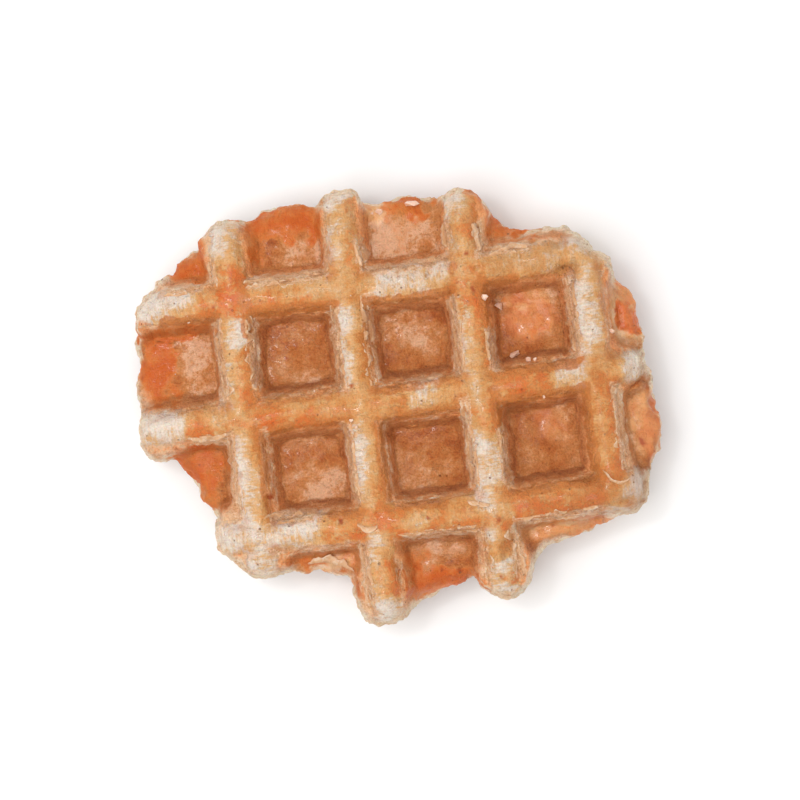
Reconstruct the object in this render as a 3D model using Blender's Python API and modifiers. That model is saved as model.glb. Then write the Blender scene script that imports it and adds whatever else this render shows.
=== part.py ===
"""A Liege waffle: one thick piece of dough with a grid of ribs pressed into both faces.

The dough is a web with seven ribs across it, four running front to back (columns) and three
running left to right (rows). Every rib stands proud of the web above and below, so each face
has six full pockets, and open ones round the edge where the dough ran out past the last rib.
The waffle lies flat on its lower crests, with the origin under its middle. +X runs along the
rows to the right, +Y along the columns to the back.
"""

import math

import bmesh
import bpy
import numpy as np
from mathutils import Vector, noise

# Driving sizes, in metres.
PITCH = 0.024  # from one rib to the next, both ways
THICKNESS = 0.023  # from the lower crests to the upper ones
WEB_THICKNESS = 0.0066  # dough left between a pocket and the one under it
WEB_RIM = 0.0022  # radius of the web's rounded edge
CREST_WIDTH = 0.0060  # across the top of a rib, shoulders and all
SHOULDER = 0.0016  # how far in and down a crest is rounded off
BASE_WIDTH = 0.0116  # the rib where it meets the web
CREST_SPARE = 0.0004  # how far a rib is made beyond the flat faces, before they are cut off
ROW_BOW = 0.0009  # how far the middle of a row bends towards the front
COLUMN_BOW = 0.0004  # how far the middle of a column bends to the left

# Ribs, in pitches from the crossing of the first column and the back row. A column has its place
# to the right, how far it reaches to the back and to the front, and how far its back end leans
# to the right.
COLUMNS = [
    {"at": 0.00, "back": 0.44, "front": 2.06, "lean": 0.04},
    {"at": 1.00, "back": 0.62, "front": 2.62, "lean": 0.02},
    {"at": 2.00, "back": 0.44, "front": 2.54, "lean": 0.03},
    {"at": 3.00, "back": -0.04, "front": 2.00, "lean": 0.0},
]
# A row has its place to the front, then how far it reaches to the left and to the right.
ROWS = [
    {"at": 0.00, "left": 0.60, "right": 2.94},
    {"at": 1.00, "left": 0.74, "right": 3.22},
    {"at": 2.00, "left": 0.06, "right": 3.04},
]

# How far the web runs past the outer ribs, in pitches, at a quarter, a half and three quarters
# of each gap between two ribs. The sides are taken in turn round the waffle.
BACK_REACH = [(0.70, 0.76, 0.75), (0.67, 0.71, 0.65), (0.42, 0.28, 0.21)]
RIGHT_REACH = [(0.27, 0.39, 0.41), (0.42, 0.44, 0.42)]
FRONT_REACH = [(0.33, 0.37, 0.53), (0.58, 0.66, 0.70), (0.48, 0.39, 0.37)]
LEFT_REACH = [(0.39, 0.50, 0.64), (0.91, 0.87, 0.84)]
BACK_LEFT_CORNER = [(-0.47, 0.27), (-0.25, 0.48)]  # the edge cuts this corner off

# Rounded ends and corners where the dough swelled past the iron: the place of the middle, the
# half widths along X and Y, and the half height, which last is a share of the thickness.
SWELLINGS = {
    "column_1_back": (0.02, 0.42, 0.235, 0.27, 0.50),
    "column_2_back": (1.01, 0.55, 0.18, 0.27, 0.50),
    "column_3_back": (2.04, 0.40, 0.205, 0.27, 0.50),
    "column_4_back": (2.90, -0.06, 0.20, 0.23, 0.50),
    "row_1_right": (3.01, -0.20, 0.22, 0.25, 0.50),
    "row_2_right": (3.17, -0.98, 0.21, 0.20, 0.49),
    "front_right_corner": (3.06, -1.97, 0.25, 0.26, 0.50),
    "column_3_front": (2.01, -2.50, 0.255, 0.29, 0.49),
    "column_2_front": (0.98, -2.58, 0.27, 0.31, 0.50),
    "column_1_front": (0.03, -2.10, 0.28, 0.30, 0.49),
    "row_3_left": (-0.10, -1.92, 0.30, 0.29, 0.49),
    "row_2_left": (-0.70, -1.03, 0.23, 0.25, 0.49),
    "row_1_left": (-0.56, -0.08, 0.28, 0.25, 0.48),
}

BLUNTNESS = 0.86  # under 1 makes a swelling blunter than a ball

# Surface of the dough.
RIB_UNEVENNESS = 0.06  # how much a rib's width changes along it
RIB_WAVE = PITCH / 0.7
RIB_STEPS = 24
UNEVENNESS = 0.0011  # slow lumps all over
UNEVENNESS_WAVE = 0.009
RAGGEDNESS = 0.0015  # quicker lumps on the free edges
RAGGEDNESS_WAVE = 0.0042
EDGE_DEPTH = 0.004  # how far in from the outline the quicker lumps reach
SEED_SHIFT = Vector((3.1, 7.7, 1.9))  # picks one pattern of lumps

# How finely the dough is worked, and how many faces it ends with.
VOXEL = 0.0008
SMOOTHING_PASSES = 7
TRIANGLES = 8800
FLAT_SNAP = 0.00012  # a vertex this near a crest plane is put on it
SHARP_ANGLE = 40  # degrees


def clear_scene():
    for thing in list(bpy.data.objects):
        bpy.data.objects.remove(thing, do_unlink=True)


def collection(name):
    made = bpy.data.collections.new(name)
    bpy.context.scene.collection.children.link(made)
    return made


def dough_material():
    material = bpy.data.materials.new("golden_dough")
    material.use_nodes = True
    shader = material.node_tree.nodes["Principled BSDF"]
    shader.inputs["Base Color"].default_value = (0.62, 0.33, 0.13, 1.0)
    shader.inputs["Roughness"].default_value = 0.5
    shader.inputs["Metallic"].default_value = 0.0
    return material


def mesh_from_curve(curve_object, guides):
    """Turns a curve object into a welded mesh object and removes the curve."""
    depsgraph = bpy.context.evaluated_depsgraph_get()
    mesh = bpy.data.meshes.new_from_object(curve_object.evaluated_get(depsgraph))
    work = bmesh.new()
    work.from_mesh(mesh)
    bmesh.ops.remove_doubles(work, verts=work.verts, dist=1e-6)
    bmesh.ops.recalc_face_normals(work, faces=work.faces)
    work.to_mesh(mesh)
    work.free()
    made = bpy.data.objects.new(curve_object.name, mesh)
    made.matrix_world = curve_object.matrix_world
    guides.objects.link(made)
    bpy.data.objects.remove(curve_object, do_unlink=True)
    return made


def web_edge():
    """The web's outline in pitches, going round clockwise from the back left."""
    shares = (0.25, 0.5, 0.75)
    last_column = COLUMNS[-1]["at"]
    last_row = ROWS[-1]["at"]
    points = []
    for gap, reaches in enumerate(BACK_REACH):
        points += [(gap + share, reach) for share, reach in zip(shares, reaches)]
    for gap, reaches in enumerate(RIGHT_REACH):
        points += [(last_column + reach, -gap - share) for share, reach in zip(shares, reaches)]
    for gap, reaches in enumerate(FRONT_REACH):
        points += [(last_column - gap - share, -last_row - reach) for share, reach in zip(shares, reaches)]
    for gap, reaches in enumerate(LEFT_REACH):
        points += [(-reach, -last_row + gap + share) for share, reach in zip(shares, reaches)]
    return points + BACK_LEFT_CORNER


def make_web(guides):
    shape = bpy.data.curves.new("web", "CURVE")
    shape.dimensions = "2D"
    shape.fill_mode = "BOTH"
    shape.extrude = WEB_THICKNESS / 2 - WEB_RIM
    shape.bevel_depth = WEB_RIM
    shape.bevel_resolution = 3
    shape.offset = -WEB_RIM
    shape.resolution_u = 6
    edge = web_edge()
    spline = shape.splines.new("BEZIER")
    spline.bezier_points.add(len(edge) - 1)
    for point, (right, back) in zip(spline.bezier_points, edge):
        point.co = (right * PITCH, back * PITCH, 0.0)
        point.handle_left_type = "AUTO"
        point.handle_right_type = "AUTO"
    spline.use_cyclic_u = True
    web = bpy.data.objects.new("web", shape)
    guides.objects.link(web)
    return mesh_from_curve(web, guides)


def rib_profile(guides):
    """The section across a rib, with its crests a little beyond the flat faces."""
    crest, base = CREST_WIDTH / 2, BASE_WIDTH / 2
    top, root = THICKNESS / 2 + CREST_SPARE, WEB_THICKNESS / 2
    quarter = [(crest - SHOULDER, top), (crest, top - SHOULDER), (base, root)]
    right = quarter + [(across, -up) for across, up in reversed(quarter)]
    section = right + [(-across, -up) for across, up in right]
    shape = bpy.data.curves.new("rib_profile", "CURVE")
    shape.dimensions = "2D"
    spline = shape.splines.new("POLY")
    spline.points.add(len(section) - 1)
    for point, (across, up) in zip(spline.points, section):
        point.co = (across, up, 0.0, 1.0)
    spline.use_cyclic_u = True
    profile = bpy.data.objects.new("rib_profile", shape)
    guides.objects.link(profile)
    return profile


def make_rib(name, start, end, bow, profile, guides):
    """A bar of the rib's section from start to end, its middle moved by bow."""
    shape = bpy.data.curves.new(name, "CURVE")
    shape.dimensions = "3D"
    shape.twist_mode = "Z_UP"
    shape.bevel_mode = "OBJECT"
    shape.bevel_object = profile
    shape.use_fill_caps = True
    spline = shape.splines.new("POLY")
    spline.points.add(RIB_STEPS)
    for step, point in enumerate(spline.points):
        share = step / RIB_STEPS
        place = start.lerp(end, share)
        place += bow * math.sin(math.pi * share)
        point.co = (*place, 1.0)
        point.radius = 1.0 + RIB_UNEVENNESS * noise.noise(place / RIB_WAVE + SEED_SHIFT)
    rib = bpy.data.objects.new(name, shape)
    guides.objects.link(rib)
    return mesh_from_curve(rib, guides)


def make_ribs(guides):
    profile = rib_profile(guides)
    ribs = []
    for number, column in enumerate(COLUMNS, 1):
        start = Vector((column["at"], -column["front"], 0.0)) * PITCH
        end = Vector((column["at"] + column["lean"], column["back"], 0.0)) * PITCH
        bow = Vector((-COLUMN_BOW, 0.0, 0.0))
        ribs.append(make_rib(f"column_{number}", start, end, bow, profile, guides))
    for number, row in enumerate(ROWS, 1):
        start = Vector((-row["left"], -row["at"], 0.0)) * PITCH
        end = Vector((row["right"], -row["at"], 0.0)) * PITCH
        bow = Vector((0.0, -ROW_BOW, 0.0))
        ribs.append(make_rib(f"row_{number}", start, end, bow, profile, guides))
    bpy.data.objects.remove(profile, do_unlink=True)
    return ribs


def make_swelling(name, guides):
    right, back, half_x, half_y, half_z = SWELLINGS[name]
    mesh = bpy.data.meshes.new(name)
    work = bmesh.new()
    bmesh.ops.create_icosphere(work, subdivisions=4, radius=1.0)
    for vert in work.verts:
        vert.co = Vector([math.copysign(abs(c) ** BLUNTNESS, c) for c in vert.co])
    reach = (half_x * PITCH, half_y * PITCH, half_z * THICKNESS)
    bmesh.ops.scale(work, vec=reach, verts=work.verts)
    bmesh.ops.translate(work, vec=(right * PITCH, back * PITCH, 0.0), verts=work.verts)
    work.to_mesh(mesh)
    work.free()
    swelling = bpy.data.objects.new(name, mesh)
    guides.objects.link(swelling)
    return swelling


def joined(name, pieces, home):
    """One object that holds the meshes of all the pieces, which are removed."""
    work = bmesh.new()
    for piece in pieces:
        work.from_mesh(piece.data)
        bpy.data.objects.remove(piece, do_unlink=True)
    mesh = bpy.data.meshes.new(name)
    work.to_mesh(mesh)
    work.free()
    made = bpy.data.objects.new(name, mesh)
    home.objects.link(made)
    return made


def evaluated_mesh(thing):
    depsgraph = bpy.context.evaluated_depsgraph_get()
    return bpy.data.meshes.new_from_object(thing.evaluated_get(depsgraph))


def melt_together(waffle):
    """Makes one skin round all the pieces and softens the joins between them."""
    skin = waffle.modifiers.new("skin", "REMESH")
    skin.mode = "VOXEL"
    skin.voxel_size = VOXEL
    soften = waffle.modifiers.new("soften", "SMOOTH")
    soften.factor = 0.5
    soften.iterations = SMOOTHING_PASSES
    waffle.data = evaluated_mesh(waffle)
    waffle.modifiers.clear()


def edge_share(mesh):
    """For each vertex, 1 on the free edges of the dough and 0 well inside them."""
    normals = np.zeros(len(mesh.vertices) * 3)
    mesh.vertex_normals.foreach_get("vector", normals)
    upright = np.abs(normals.reshape(-1, 3)[:, 2])
    places = np.zeros(len(mesh.vertices) * 3)
    mesh.vertices.foreach_get("co", places)
    places = places.reshape(-1, 3)
    edge = np.array(web_edge()) * PITCH
    starts, ends = edge, np.roll(edge, -1, axis=0)
    nearest = np.full(len(places), np.inf)
    for start, end in zip(starts, ends):
        along = end - start
        share = np.clip(((places[:, :2] - start) @ along) / (along @ along), 0.0, 1.0)
        gap = np.linalg.norm(places[:, :2] - start - share[:, None] * along, axis=1)
        nearest = np.minimum(nearest, gap)
    near = np.clip(1.0 - nearest / EDGE_DEPTH, 0.0, 1.0)
    return near * (1.0 - 0.5 * upright)


def make_uneven(waffle):
    """Pushes the skin in and out along its normals, most on the free edges."""
    mesh = waffle.data
    edge = edge_share(mesh)
    pushed = []
    for vert, at_edge in zip(mesh.vertices, edge):
        slow = noise.noise(vert.co / UNEVENNESS_WAVE + SEED_SHIFT)
        quick = noise.noise(vert.co / RAGGEDNESS_WAVE + SEED_SHIFT)
        depth = UNEVENNESS * slow + RAGGEDNESS * at_edge * quick
        pushed.append(vert.co + vert.normal * float(depth))
    for vert, place in zip(mesh.vertices, pushed):
        vert.co = place
    mesh.update()


def flatten_crests(mesh, snap):
    """Cuts the crests off at the planes of the two faces."""
    half = THICKNESS / 2
    for vert in mesh.vertices:
        if abs(vert.co.z) > half - snap:
            vert.co.z = math.copysign(half, vert.co.z)
    mesh.update()


def thin_out(waffle):
    """Brings the skin down to its number of triangles, keeping the shape."""
    corners = sum(len(face.vertices) - 2 for face in waffle.data.polygons)
    thinner = waffle.modifiers.new("thinner", "DECIMATE")
    thinner.ratio = TRIANGLES / corners
    waffle.data = evaluated_mesh(waffle)
    waffle.modifiers.clear()


def set_on_origin(mesh):
    """Puts the origin at the middle of the underside."""
    places = np.zeros(len(mesh.vertices) * 3)
    mesh.vertices.foreach_get("co", places)
    places = places.reshape(-1, 3)
    low, high = places.min(axis=0), places.max(axis=0)
    places -= [(low[0] + high[0]) / 2, (low[1] + high[1]) / 2, low[2]]
    mesh.vertices.foreach_set("co", places.ravel())
    mesh.update()


def make_waffle():
    home = collection("liege_waffle")
    guides = collection("guides")
    pieces = [make_web(guides)] + make_ribs(guides)
    pieces += [make_swelling(name, guides) for name in SWELLINGS]
    waffle = joined("waffle", pieces, home)
    melt_together(waffle)
    make_uneven(waffle)
    flatten_crests(waffle.data, 0.0)
    thin_out(waffle)
    flatten_crests(waffle.data, FLAT_SNAP)
    set_on_origin(waffle.data)
    waffle.data.materials.clear()
    waffle.data.materials.append(dough_material())
    waffle.data.shade_smooth()
    waffle.data.set_sharp_from_angle(angle=math.radians(SHARP_ANGLE))
    return waffle


clear_scene()
make_waffle()
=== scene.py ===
import math

import bmesh
import bpy
import numpy as np
from mathutils import Matrix, Vector
from mathutils.bvhtree import BVHTree


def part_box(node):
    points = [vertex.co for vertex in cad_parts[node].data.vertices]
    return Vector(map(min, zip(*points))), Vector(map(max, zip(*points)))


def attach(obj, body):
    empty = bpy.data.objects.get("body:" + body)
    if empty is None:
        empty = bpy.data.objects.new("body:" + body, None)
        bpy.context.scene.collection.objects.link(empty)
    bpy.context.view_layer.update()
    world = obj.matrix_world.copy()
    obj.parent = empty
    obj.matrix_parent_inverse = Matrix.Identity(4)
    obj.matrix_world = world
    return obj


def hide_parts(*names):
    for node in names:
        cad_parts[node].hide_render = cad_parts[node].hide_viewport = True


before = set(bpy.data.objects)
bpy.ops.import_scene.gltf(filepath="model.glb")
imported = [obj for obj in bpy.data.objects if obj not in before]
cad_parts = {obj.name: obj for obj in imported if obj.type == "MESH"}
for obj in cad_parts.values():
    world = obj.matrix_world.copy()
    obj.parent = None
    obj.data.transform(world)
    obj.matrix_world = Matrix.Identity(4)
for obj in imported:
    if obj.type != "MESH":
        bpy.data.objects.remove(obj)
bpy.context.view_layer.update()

mm = 0.001
lowCorner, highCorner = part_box("waffle")

# the pressed grid, as the solid has it
grid = {
    "pitch": 24 * mm,                # from rib to rib
    "web": 6.6 * mm,                 # dough left between two pockets
    "crossingX": lowCorner.x + 22.37 * mm,    # where the first column meets the back row
    "crossingY": highCorner.y - 19.31 * mm,
    "middleZ": (lowCorner.z + highCorner.z) / 2,
    "halfHeight": (highCorner.z - lowCorner.z) / 2,
    "columnBow": 0.0167,             # how far a column's middle bows to the left, in pitches
    "rowBow": 0.0375,                # and a row's middle to the front
}

# Each rib has its place and its ends in pitches. A column's slant is how far its back end stands to the
# right, and a row's bend is (place, how much nearer to the front it stands there).
# A tone is (place along the rib, cream, caramel, lean): cream 0 is golden and 1 nearly white, caramel 1 is
# deep orange, and lean moves the cream to the rib's left or back side.
# A shoulder, beside the crest, is (from, to, side, torn, stained): side 1 is left or back and -1 is right or
# front, then how far the skin has torn to pale dough there, and how deep the caramel stain is.
columns = [
    {"at": 0, "from": -0.67, "to": 2.40, "slant": 0.04,
     "tones": [
        (-0.66, 0.95, 0, 0), (-0.44, 0.7, 0.05, 0.1), (-0.34, 0.4, 0.25, 0), (-0.15, 0.08, 0.65, 0),
        (0.05, 0, 0.9, 0), (0.12, 0.5, 0.35, -0.5), (0.2, 0.75, 0.15, -0.5), (0.4, 0.85, 0.1, -0.5),
        (0.47, 0.3, 0.3, 0.3), (0.7, 0.38, 0.3, 0.2), (0.85, 0.35, 0.35, 0.2), (1, 0.25, 0.35, 0),
        (1.15, 0.55, 0.1, 0.4), (1.6, 0.7, 0.05, 0.3), (1.8, 0.52, 0.15, 0.2), (2, 0.78, 0.05, 0.2),
        (2.35, 0.85, 0.05, 0)],
     "shoulders": [
        (-0.35, -0.12, 1, 0.6, 0), (0.14, 0.88, 1, 1, 0), (1.12, 1.85, 1, 0.9, 0), (-0.2, 0.4, -1, 0, 0.8),
        (0.15, 0.8, -1, 0.8, 0.3), (1.05, 1.8, -1, 0.55, 0.6)]},
    {"at": 1, "from": -0.80, "to": 2.87, "slant": 0.02,
     "tones": [
        (-0.72, 1, 0, 0), (-0.62, 0.35, 0.35, 0), (-0.5, 0.62, 0.15, 0.2), (-0.35, 0.5, 0.25, 0),
        (-0.22, 0.5, 0.25, 0.2), (-0.1, 0.3, 0.3, 0), (0.1, 0.4, 0.1, 0), (0.2, 0.78, 0, 0.3),
        (0.38, 0.74, 0, 0.3), (0.48, 0.45, 0.12, 0.5), (0.82, 0.4, 0.12, 0.4), (1, 0.25, 0.2, 0),
        (1.15, 0.4, 0.15, 0.3), (1.4, 0.65, 0.1, 0.4), (1.8, 0.46, 0.2, 0.3), (2, 0.1, 0.5, 0),
        (2.07, 0.75, 0.05, 0.2), (2.28, 0.62, 0.1, 0.2), (2.4, 0.3, 0.35, 0.1), (2.62, 0.3, 0.35, 0.1),
        (2.74, 0.9, 0, 0)],
     "shoulders": [
        (-0.7, -0.15, 1, 0.4, 0.3), (-0.4, -0.12, -1, 0.8, 0), (0.15, 0.9, 1, 0.9, 0),
        (0.1, 0.9, -1, 0.7, 0.5), (1.15, 1.85, 1, 0.9, 0), (1.1, 1.85, -1, 0.5, 0.6),
        (2.15, 2.75, 1, 0.7, 0), (2.35, 2.75, -1, 0.5, 0.3)]},
    {"at": 2, "from": -0.65, "to": 2.77, "slant": 0.03,
     "tones": [
        (-0.62, 0.85, 0.05, 0.5), (-0.56, 0.5, 0.3, 0.5), (-0.45, 0.3, 0.4, 0.3), (-0.3, 0.32, 0.35, 0.2),
        (-0.05, 0.3, 0.25, 0), (0.1, 0.3, 0.3, 0), (0.25, 0.2, 0.5, 0.2), (0.45, 0.3, 0.4, 0.3),
        (0.6, 0.42, 0.3, 0.3), (0.75, 0.4, 0.22, 0.2), (1, 0.45, 0.12, 0), (1.2, 0.17, 0.47, 0),
        (1.32, 0.3, 0.3, 0.1), (1.44, 0.65, 0.1, -0.1), (1.52, 0.82, 0, -0.1), (1.82, 0.8, 0, -0.1),
        (1.95, 0.5, 0.35, 0.5), (2.1, 0.28, 0.5, 0.3), (2.22, 0.52, 0.2, 0.1), (2.32, 0.28, 0.33, 0),
        (2.42, 0.4, 0.2, 0), (2.5, 0.72, 0.05, 0), (2.6, 0.4, 0.4, 0), (2.7, 0.8, 0, 0)],
     "shoulders": [
        (-0.42, -0.18, 1, 0.7, 0.3), (-0.38, -0.1, -1, 1, 0), (-0.12, 0.16, 1, 0, 0.5), (0.2, 0.9, 1, 1, 0),
        (0.1, 0.5, -1, 0, 0.9), (0.5, 0.85, -1, 0.8, 0.2), (1, 1.32, -1, 0.3, 0.9),
        (1.3, 1.85, -1, 0.6, 0.2), (1.05, 1.85, 1, 0.8, 0.2), (2.2, 2.6, 1, 0.7, 0), (2.2, 2.6, -1, 0.8, 0)]},
    {"at": 3, "from": -0.20, "to": 2.20, "slant": 0,
     "tones": [
        (-0.2, 0.7, 0, 0), (0.1, 0.5, 0, 0), (0.22, 0.6, 0, 0.1), (0.32, 0.75, 0, 0.1), (0.76, 0.76, 0, 0.1),
        (0.84, 0.35, 0.3, 0), (0.95, 0.38, 0.15, 0), (1.1, 0.12, 0.35, 0), (1.35, 0.25, 0.3, 0),
        (1.6, 0.18, 0.33, 0), (1.9, 0.05, 0.5, 0), (2, 0.08, 0.5, -0.2), (2.08, 0.45, 0.15, -0.2),
        (2.15, 0.85, 0, 0)],
     "shoulders": [
        (0.15, 0.85, 1, 0.6, 0.2), (1.1, 1.85, 1, 0, 1), (1.1, 1.85, -1, 1, 0), (0.15, 0.85, -1, 0.3, 0.4)]},
]
rows = [
    {"at": 0, "from": -0.82, "to": 3.20, "bend": (1.5, 0.03),
     "tones": [
        (-0.8, 0.95, 0, 0), (-0.35, 0.8, 0, 0.2), (-0.22, 0.3, 0.4, 0.1), (0, 0.05, 0.8, 0),
        (0.15, 0.2, 0.45, 0.1), (0.32, 0.22, 0.42, 0.1), (0.45, 0.4, 0.25, 0), (0.62, 0.28, 0.4, 0.1),
        (0.85, 0.48, 0.2, 0.1), (1, 0.35, 0.15, 0), (1.2, 0.28, 0.2, 0), (1.3, 0.76, 0, 0),
        (1.45, 0.74, 0, 0), (1.75, 0.68, 0, 0), (1.85, 0.4, 0.15, 0), (2, 0.2, 0.4, 0),
        (2.15, 0.38, 0.22, 0), (2.4, 0.45, 0.15, 0.1), (2.52, 0.46, 0.12, 0.1), (2.62, 0.32, 0.22, 0.1),
        (2.75, 0.52, 0.1, 0), (2.9, 0.62, 0, 0), (3.2, 0.8, 0, 0)],
     "shoulders": [
        (-0.55, -0.18, 1, 0.8, 0), (-0.6, -0.1, -1, 0, 1), (0.12, 0.82, 1, 0.7, 0.2),
        (0.1, 0.95, -1, 0.1, 0.9), (1.15, 1.85, 1, 0.5, 0), (1.08, 1.95, -1, 0.1, 0.8),
        (2.1, 2.6, 1, 0.9, 0), (2.05, 2.45, -1, 0.1, 0.8)]},
    {"at": 1, "from": -0.91, "to": 3.38, "bend": (0.6, -0.015),
     "tones": [
        (-0.9, 0.95, 0, -0.1), (-0.55, 0.8, 0.05, -0.1), (-0.47, 0.38, 0.35, 0), (-0.38, 0.25, 0.45, 0),
        (-0.15, 0.38, 0.25, 0), (0, 0.25, 0.35, 0), (0.12, 0.1, 0.55, 0), (0.22, 0.08, 0.55, 0),
        (0.35, 0.2, 0.4, 0), (0.7, 0.22, 0.33, 0), (1, 0.3, 0.2, 0), (1.12, 0.2, 0.3, 0),
        (1.36, 0.2, 0.3, 0), (1.5, 0.62, 0, 0.2), (1.62, 0.5, 0.05, 0.2), (1.75, 0.25, 0.2, 0),
        (2, 0.42, 0.2, 0), (2.18, 0.12, 0.5, 0), (2.6, 0.1, 0.5, 0), (2.7, 0.62, 0.05, 0),
        (2.88, 0.58, 0.05, 0), (2.95, 0.15, 0.3, 0), (3.12, 0.2, 0.3, 0), (3.22, 0.72, 0, 0),
        (3.35, 0.9, 0, 0)],
     "shoulders": [
        (-0.5, -0.12, -1, 0.9, 0), (0.15, 0.85, 1, 0.4, 0.5), (0.15, 0.9, -1, 0.1, 0.6),
        (1.15, 1.9, 1, 0.25, 0.6), (1.2, 1.9, -1, 0.3, 0.6), (2.15, 2.85, 1, 0, 0.9),
        (2.15, 2.95, -1, 0.2, 0.9)]},
    {"at": 2, "from": -0.40, "to": 3.28,
     "tones": [
        (-0.4, 0.95, 0, 0), (-0.05, 0.88, 0, 0), (0.12, 0.8, 0.05, 0), (0.45, 0.85, 0.05, 0.1),
        (0.54, 0.5, 0.2, 0), (0.62, 0.3, 0.4, 0), (0.8, 0.18, 0.45, 0), (1, 0.05, 0.65, 0),
        (1.15, 0.1, 0.55, 0), (1.27, 0.35, 0.3, -0.1), (1.38, 0.42, 0.2, 0), (1.5, 0.12, 0.4, 0),
        (1.8, 0.22, 0.3, 0), (1.92, 0.58, 0.1, 0.2), (2.08, 0.55, 0.15, 0.3), (2.15, 0.3, 0.35, 0.1),
        (2.22, 0.1, 0.55, 0), (2.5, 0.08, 0.55, 0), (2.65, 0.2, 0.4, 0), (2.8, 0.12, 0.5, 0),
        (2.93, 0, 0.65, 0), (3.02, 0.15, 0.35, 0), (3.1, 0.75, 0, 0), (3.2, 0.9, 0, 0)],
     "shoulders": [
        (0.05, 0.5, 1, 0.6, 0.2), (0.55, 0.9, 1, 0.2, 0.7), (0.05, 0.75, -1, 0.5, 0.3),
        (1.15, 1.7, 1, 0.4, 0.7), (1.15, 1.85, -1, 0.7, 0.4), (2.1, 2.95, 1, 0.2, 0.8),
        (2.1, 2.9, -1, 0.7, 0.4)]},
]


def smooth(low, high, values):
    share = np.clip((values - low) / (high - low), 0.0, 1.0)
    return share * share * (3.0 - 2.0 * share)


def band(values, begins, full, fades, ends):
    return smooth(begins, full, values) * smooth(ends, fades, values)


def waveNoise(points, seed):
    # gradient noise, about -1 to 1, at points counted in waves
    slopes = np.random.RandomState(seed).normal(size=(4096, 3))
    slopes /= np.linalg.norm(slopes, axis=1, keepdims=True)
    cell = np.floor(points).astype(np.int64)
    part = points - cell
    ease = part * part * part * (part * (part * 6.0 - 15.0) + 10.0)
    total = np.zeros(len(points))
    for corner in range(8):
        step = np.array([corner & 1, corner >> 1 & 1, corner >> 2 & 1])
        at = cell + step
        # a slope for each corner, picked by mixing the corner's three numbers
        picked = (at[:, 0] * 73856093 ^ at[:, 1] * 19349663 ^ at[:, 2] * 83492791) & 4095
        weight = np.prod(np.where(step == 1, ease, 1.0 - ease), axis=1)
        total += weight * np.sum((part - step) * slopes[picked], axis=1)
    return total * 1.7


def layeredNoise(points, seed, layers):
    # each layer is half the size and half the height of the one before
    return sum(0.5 ** layer * waveNoise(points * 2.0 ** layer, seed + layer) for layer in range(layers))


def toneAlong(tones, places):
    # cream, caramel and lean at these places along a rib
    keys = np.array(tones)
    after = np.clip(np.searchsorted(keys[:, 0], places), 1, len(keys) - 1)
    before = after - 1
    share = smooth(0.0, 1.0, (places - keys[before, 0]) / (keys[after, 0] - keys[before, 0]))
    return keys[before, 1:] * (1.0 - share[:, None]) + keys[after, 1:] * share[:, None]


def readVectors(items, name):
    values = np.zeros(len(items) * 3)
    items.foreach_get(name, values)
    return values.reshape(-1, 3)


def applyModifiers(piece):
    depsgraph = bpy.context.evaluated_depsgraph_get()
    piece.data = bpy.data.meshes.new_from_object(piece.evaluated_get(depsgraph))
    piece.modifiers.clear()


def linked(name, data):
    thing = bpy.data.objects.new(name, data)
    bpy.context.scene.collection.objects.link(thing)
    return thing


def meshFrom(work, name):
    mesh = bpy.data.meshes.new(name)
    work.to_mesh(mesh)
    work.free()
    return mesh


def aroundCells(cells, steps):
    # the map itself, and moved by each step
    return [cells] + [np.roll(cells, step, (0, 1)) for step in steps]


def insetMap(places, cell):
    # how far each point is in from the waffle's outline, seen from above
    straight = [(1, 0), (-1, 0), (0, 1), (0, -1)]
    diagonal = [(1, 1), (1, -1), (-1, 1), (-1, -1)]
    low = places[:, :2].min(axis=0) - 3 * cell
    shape = np.ceil((places[:, :2].max(axis=0) - low) / cell).astype(int) + 4
    inside = np.zeros(shape, bool)
    spots = ((places[:, :2] - low) / cell).astype(int)
    inside[spots[:, 0], spots[:, 1]] = True
    closing, deepest = 2, 24      # turns of growing close the pinholes between points, then turns of peeling
    for turn in range(closing):
        inside = np.any(aroundCells(inside, straight), axis=0)
    depth = np.zeros(shape)
    for turn in range(deepest):      # each peels off a cell, and every other one the corners too
        depth += inside
        inside = np.all(aroundCells(inside, straight + diagonal if turn % 2 else straight), axis=0)
    depth = np.maximum(depth - closing, 0) * cell
    exact = (places[:, :2] - low) / cell - 0.5
    whole = np.clip(np.floor(exact).astype(int), 0, np.array(shape) - 2)
    part = np.clip(exact - whole, 0.0, 1.0)
    value = np.zeros(len(places))
    for across, along in ((0, 0), (0, 1), (1, 0), (1, 1)):
        weight = np.abs(1 - across - part[:, 0]) * np.abs(1 - along - part[:, 1])
        value += weight * depth[whole[:, 0] + across, whole[:, 1] + along]
    return value


def ribLine(rib, along):
    # where a rib's middle line runs, in pitches across, at these places along it
    share = np.clip((along - rib["from"]) / (rib["to"] - rib["from"]), 0.0, 1.0)
    if rib in columns:
        return rib["at"] + rib["slant"] * (1.0 - share) - grid["columnBow"] * np.sin(math.pi * share)
    bendAt, bend = rib.get("bend", (0.0, 0.0))
    nearer = bend * smooth(0.6, 0.15, np.abs(along - bendAt))
    return rib["at"] + grid["rowBow"] * np.sin(math.pi * share) + nearer


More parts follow.
